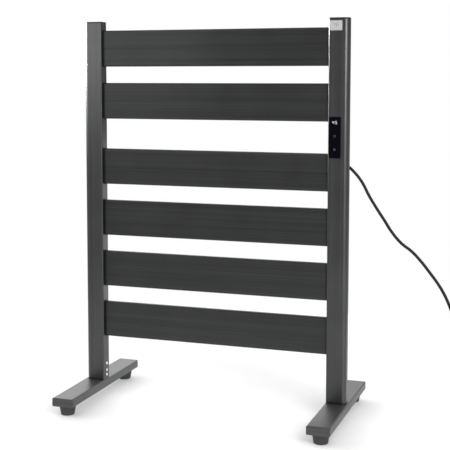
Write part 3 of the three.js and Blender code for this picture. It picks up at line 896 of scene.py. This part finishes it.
def make_label():
    low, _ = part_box("label_plate")
    middle = centre_of("label_plate")
    width, _, height = size_of("label_plate")
    install(front_plate("label_plate", 1.5 * MM, 0.18 * MM), LABEL, "label", "label_plate")
    waves = [wave_polygon(u * MM, 8 * MM, 0.9 * MM, 0.9 * MM) for u in (-4, 0, 4)]
    inlay("label_heat_sign", waves, low.y, (middle.x, middle.z + 1.5 * MM), PRINT, "label")
    margin, line = 1.2 * MM, 0.35 * MM
    rim_width, rim_height = width - 2 * margin, height - 2 * margin
    rules = [
        [(-rim_width / 2, v), (rim_width / 2, v), (rim_width / 2, v + line),
         (-rim_width / 2, v + line)]
        for v in (-rim_height / 2, -rim_height / 2 + 4.2 * MM, rim_height / 2 - line)
    ]
    inlay("label_rules", rules, low.y, (middle.x, middle.z), PRINT, "label")


# ---- cord fittings -----------------------------------------------------------------
CORD_BORE = 3.3 * MM
PLUG_WIDTH, PLUG_HEIGHT, PLUG_RADIUS = 30, 26, 8     # In millimetres, as its rings are.
PLUG_NECK = 15 * MM
PLUG_LENGTH = 58 * MM
BLADE_SPACING = 12.7 * MM
BLADE_RISE = 3 * MM


def make_strain_relief():
    low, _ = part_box("cord_strain_relief")
    middle = centre_of("cord_strain_relief")
    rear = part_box("right_post")[1].y
    inside = low.y - rear
    # The flange inside the post, the neck through its wall, then the collar outside.
    profile = [(CORD_BORE, inside), (7 * MM, inside), (7.6 * MM, inside + 0.6 * MM),
               (7.6 * MM, -2.3 * MM), (5.4 * MM, -2.3 * MM), (5.4 * MM, 0.3 * MM),
               (7.9 * MM, 0.3 * MM), (8.2 * MM, 0.6 * MM), (8.2 * MM, 1.9 * MM),
               (7.7 * MM, 2.6 * MM), (6.6 * MM, 3.2 * MM)]
    ribs, first, last = 7, 5.0 * MM, 27.5 * MM
    pitch = (last - first) / ribs
    for rib in range(ribs):
        start = first + (last - first) * rib / ribs
        crest = 6.5 * MM - 1.9 * MM * rib / (ribs - 1)
        groove, shoulder = crest - 1.05 * MM, crest - 0.2 * MM
        profile += [(groove, start), (groove, start + 0.28 * pitch),
                    (shoulder, start + 0.38 * pitch), (crest, start + 0.5 * pitch),
                    (crest, start + 0.8 * pitch), (shoulder, start + 0.92 * pitch)]
    profile += [(4.5 * MM, 28 * MM), (4.4 * MM, 29.4 * MM), (4.0 * MM, 30 * MM),
                (CORD_BORE, 30 * MM)]
    origin = (middle.x, rear, middle.z)
    relief = turned("strain_relief_boot", profile, origin, "y", 40, closed=True)
    install(shade(relief, 34), CORD_SHEATH, "black_plastic", "cord_strain_relief")
    return relief


def plug_ring(width, height, radius, y):
    """A section of the plug's body, at y."""
    section = outline(width, height, (radius,) * 4, 10)
    return [(PLUG_X + u, y, PLUG_Z + v) for u, v in section]


def make_plug():
    """Moulded plug: a ribbed neck that swells into a body with grip ribs on both sides."""
    rings = []
    tip = PLUG_NECK_Y
    ribs = 6
    for rib in range(ribs):
        for share, inset in ((0, 0.7), (0.35, 0.7), (0.45, 0), (0.85, 0)):
            travel = (rib + share) / ribs * PLUG_NECK
            radius = 4.4 * MM + 2.1 * MM * travel / PLUG_NECK - inset * MM
            rings.append(plug_ring(2 * radius, 2 * radius, radius - 1e-5, tip - travel))
    shoulder = ((15.5, 13.4, 13.2, 6.3), (17.5, 15.5, 14.6, 6.6), (19.5, 20, 17.6, 7.4),
                (21.5, 25, 21, 8.2), (24, 28.2, 23.8, 8.6), (27, 29.5, 25.2, 8.4),
                (31, PLUG_WIDTH, PLUG_HEIGHT, PLUG_RADIUS))
    for depth, width, height, radius in shoulder:
        rings.append(plug_ring(width * MM, height * MM, radius * MM, tip - depth * MM))
    for groove in range(5):
        start = 33 + 3 * groove
        for step, inset in ((0, 0), (0.5, 0.9), (1.3, 0.9), (1.8, 0)):
            rings.append(plug_ring((PLUG_WIDTH - 2 * inset) * MM, PLUG_HEIGHT * MM,
                                   (PLUG_RADIUS - inset) * MM, tip - (start + step) * MM))
    for depth, inset in ((50, 0), (56.4, 0.1), (57.4, 0.5), (58, 1.4)):
        rings.append(plug_ring((PLUG_WIDTH - 2 * inset) * MM, (PLUG_HEIGHT - 2 * inset) * MM,
                               (PLUG_RADIUS - inset) * MM, tip - depth * MM))
    body = shade(loft("plug_body", rings), 34)
    install(body, PLUG_RUBBER, "cord", "mains_plug")
    front = tip - PLUG_LENGTH
    blades = []
    for side in (-1, 1):
        x, z = PLUG_X + side * BLADE_SPACING / 2, PLUG_Z + BLADE_RISE
        blade = prism("blade", box_section(1.5 * MM, 6.3 * MM), "y", front - 17.5 * MM,
                      front + 1.5 * MM, (x, z))
        hole = prism("hole", circle(1.6 * MM, 20), "x", x - 3 * MM, x + 3 * MM,
                     (front - 13 * MM, z))
        blades.append(round_edges(carve(blade, hole), 0.3 * MM))
    pin_profile = [(1e-5, 20.5 * MM), (1.2 * MM, 20.2 * MM), (2 * MM, 19.3 * MM),
                   (2.4 * MM, 17.8 * MM), (2.4 * MM, -1.5 * MM), (1e-5, -1.5 * MM)]
    pin_place = (PLUG_X, front, PLUG_Z - 8.5 * MM)
    blades.append(turned("pin", pin_profile, pin_place, "y", 28, flip=-1))
    contacts = shade(merged("plug_contacts", blades))
    install(contacts, NICKEL, "zinc")
    return body, contacts


def make_tie():
    """A woven strap round the coil's three turns, with its end doubled over on top."""
    low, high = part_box("coil_tie")
    middle = centre_of("coil_tie")
    width, _, height = size_of("coil_tie")
    place = (middle.x, middle.z)
    section = outline(width, height, (3.2 * MM,) * 4, 8)
    strap = prism("coil_strap", section, "y", low.y, high.y, place)
    inner = outline(width - 1.6 * MM, height - 1.6 * MM, (2.5 * MM,) * 4, 8)
    carve(strap, prism("hollow", inner, "y", low.y - MM, high.y + MM, place))
    tail = prism("tail", outline(15 * MM, 1.0 * MM, (0.45 * MM,) * 4, 4), "y",
                 low.y + 0.2 * MM, high.y - 0.2 * MM, (middle.x - 2 * MM, high.z + 0.3 * MM))
    fuse(strap, tail)
    round_edges(strap, 0.15 * MM)
    install(shade(strap), STRAP, "black_plastic", "coil_tie")
    return strap


# ---- inner parts -------------------------------------------------------------------
INNER_LOOKS = {
    "spigot": ALUMINIUM, "spigot_bolt": ZINC, "heating_cable": SILICONE, "wiring_harness": SILICONE,
    "panel_housing": INNER_PLASTIC, "display_module": INNER_PLASTIC, "key_spring": ZINC,
    "control_board": BOARD, "power_board": BOARD, "terminal_block": IVORY, "thermal_cutout": IVORY,
}
INNER_SOFTENING = 0.2 * MM


def finish_inner_parts():
    """The CAD parts inside the posts and bars keep their shape, with softened edges."""
    for name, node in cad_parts.items():
        if node.hide_render:
            continue
        key = max((k for k in INNER_LOOKS if k in name), key=len)
        node.data.materials.clear()
        node.data.materials.append(INNER_LOOKS[key])
        softened = node.modifiers.new("softened edges", "BEVEL")
        softened.width = INNER_SOFTENING
        softened.segments = 2
        softened.limit_method = "ANGLE"
        softened.angle_limit = math.radians(CORNER_ANGLE)


for name, side in SIDES.items():
    make_post(name, side)
    make_post_cap(name, side)
    make_foot_bar(name)
    for end, direction in ENDS.items():
        make_foot_cap(f"{name}_{end}_foot_cap", direction)
        make_rubber_foot(f"{name}_{end}_rubber_foot")
for bar in BARS:
    make_bar(bar)
make_screws()
make_panel()
make_label()
relief = make_strain_relief()
plug_body, plug_contacts = make_plug()
strap = make_tie()
install(lead, CORD_SHEATH, "cord", "mains_cord", "mains_cord_coil")
finish_inner_parts()


# ---- floor and light ---------------------------------------------------------------
FLOOR_LOW, FLOOR_HIGH = (-1.15, -1.2), (1.45, 1.1)
FLOOR_CORNER = 0.6
FLOOR_DROP = 0.05 * MM


def make_floor():
    """A pale rounded sheet, a hair below the rubber feet."""
    low, high = FLOOR_LOW, FLOOR_HIGH
    middle = [(a + b) / 2 for a, b in zip(low, high)]
    edge = outline(high[0] - low[0], high[1] - low[1], (FLOOR_CORNER,) * 4, 12)
    corners = [(middle[0] + u, middle[1] + v, 0) for u, v in edge]
    floor = piece_from("floor", corners, [tuple(range(len(corners)))])
    floor.location.z = -FLOOR_DROP
    look = Look("pale floor", (0.9, 0.9, 0.9), Roughness=0.9, Specular_IOR_Level=0.1)
    look.tint(look.noise((3, 3, 3), 2), 0.995, 1.005)
    floor.data.materials.append(look.material)


class Sky:
    """A studio surround: soft light by direction, and plain white where the camera sees it."""

    def __init__(self):
        world = bpy.data.worlds.new("studio")
        world.use_nodes = True
        scene.world = world
        self.nodes = world.node_tree.nodes
        self.links = world.node_tree.links
        self.nodes.clear()
        coordinates = self.nodes.new("ShaderNodeTexCoord")
        self.direction = coordinates.outputs["Generated"]
        self.total = None

    def lobe(self, towards, reach, strength):
        """A soft bright patch centred on a direction, fading out at reach degrees from it."""
        dot = self.nodes.new("ShaderNodeVectorMath")
        dot.operation = "DOT_PRODUCT"
        self.links.new(self.direction, dot.inputs[0])
        dot.inputs[1].default_value = Vector(towards).normalized()
        fade = self.nodes.new("ShaderNodeMapRange")
        fade.interpolation_type = "SMOOTHSTEP"
        fade.inputs["From Min"].default_value = math.cos(math.radians(reach))
        fade.inputs["From Max"].default_value = math.cos(math.radians(reach * 0.35))
        fade.inputs["To Min"].default_value = 0
        fade.inputs["To Max"].default_value = strength
        self.links.new(dot.outputs["Value"], fade.inputs["Value"])
        self.sum(fade.outputs["Result"])

    def sum(self, value):
        if self.total is None:
            self.total = value
            return
        add = self.nodes.new("ShaderNodeMath")
        add.operation = "ADD"
        self.links.new(self.total, add.inputs[0])
        self.links.new(value, add.inputs[1])
        self.total = add.outputs["Value"]

    def mix(self, amount, first, second):
        node = self.nodes.new("ShaderNodeMix")
        for socket, value in zip((node.inputs[0], node.inputs[2], node.inputs[3]),
                                 (amount, first, second)):
            if isinstance(value, (int, float)):
                socket.default_value = value
            else:
                self.links.new(value, socket)
        return node.outputs[0]

    def finish(self, ambient, below, seen):
        """Adds an even light above the horizon, and another below it."""
        ambient_node = self.nodes.new("ShaderNodeMath")
        ambient_node.operation = "ADD"
        self.links.new(self.total, ambient_node.inputs[0])
        ambient_node.inputs[1].default_value = ambient
        split = self.nodes.new("ShaderNodeSeparateXYZ")
        self.links.new(self.direction, split.inputs[0])
        horizon = self.nodes.new("ShaderNodeMapRange")
        horizon.interpolation_type = "SMOOTHSTEP"
        horizon.inputs["From Min"].default_value = -HORIZON_BLUR
        horizon.inputs["From Max"].default_value = HORIZON_BLUR
        self.links.new(split.outputs["Z"], horizon.inputs["Value"])
        light = self.mix(horizon.outputs["Result"], below, ambient_node.outputs["Value"])
        path = self.nodes.new("ShaderNodeLightPath")
        pick = self.mix(path.outputs["Is Camera Ray"], light, seen)
        background = self.nodes.new("ShaderNodeBackground")
        background.inputs["Color"].default_value = (1, 1, 1, 1)
        self.links.new(pick, background.inputs["Strength"])
        output = self.nodes.new("ShaderNodeOutputWorld")
        self.links.new(background.outputs["Background"], output.inputs["Surface"])


# Half the height of the blur between the sky and the ground, as a direction's z.
HORIZON_BLUR = 0.03
# Each soft patch of the surround: azimuth from +X, elevation, reach in degrees, strength.
SOFT_PATCHES = (
    (0, 90, 60, 0.88), (90, 25, 30, 1.2), (130, 25, 28, 2.3), (180, 20, 34, 3.0),
    (235, 52, 34, 0.15), (302, 8, 16, 5.0), (320, 22, 26, 4.4), (10, 28, 28, 1.0),
)
SKY_LEVEL = 0.09
GROUND_LEVEL = 0.48
# Soft discs near the rack: place, the point that it faces, size, power and beam in degrees.
SOFT_DISCS = (
    ((-0.86, -0.95, 0.93), (-0.3, 0, 0.76), 0.6, 2.4, 180),
    ((-0.95, 0.02, 0.98), (-0.318, 0, 0.88), 0.22, 7.5, 45),
    ((-0.15, 0.36, 0.36), (-0.28, 0, 0.36), 0.5, 0.5, 180),
    ((0.88, -0.95, 0.98), (0.3, 0, 0.74), 0.5, 5.0, 180),
)


def heading(azimuth, elevation):
    azimuth, elevation = math.radians(azimuth), math.radians(elevation)
    level = math.cos(elevation)
    return level * math.cos(azimuth), level * math.sin(azimuth), math.sin(elevation)


def make_light():
    sky = Sky()
    for azimuth, elevation, reach, strength in SOFT_PATCHES:
        sky.lobe(heading(azimuth, elevation), reach, strength)
    sky.finish(SKY_LEVEL, GROUND_LEVEL, 1.0)
    for place, target, size, power, beam in SOFT_DISCS:
        data = bpy.data.lights.new("soft_disc", "AREA")
        data.shape = "DISK"
        data.size = size
        data.energy = power
        data.spread = math.radians(beam)
        disc = bpy.data.objects.new("soft_disc", data)
        disc.location = place
        away = Vector(place) - Vector(target)
        disc.rotation_euler = away.to_track_quat("Z", "Y").to_euler()
        disc.visible_camera = False
        scene.collection.objects.link(disc)
    scene.view_settings.view_transform = "Standard"


make_floor()
make_light()
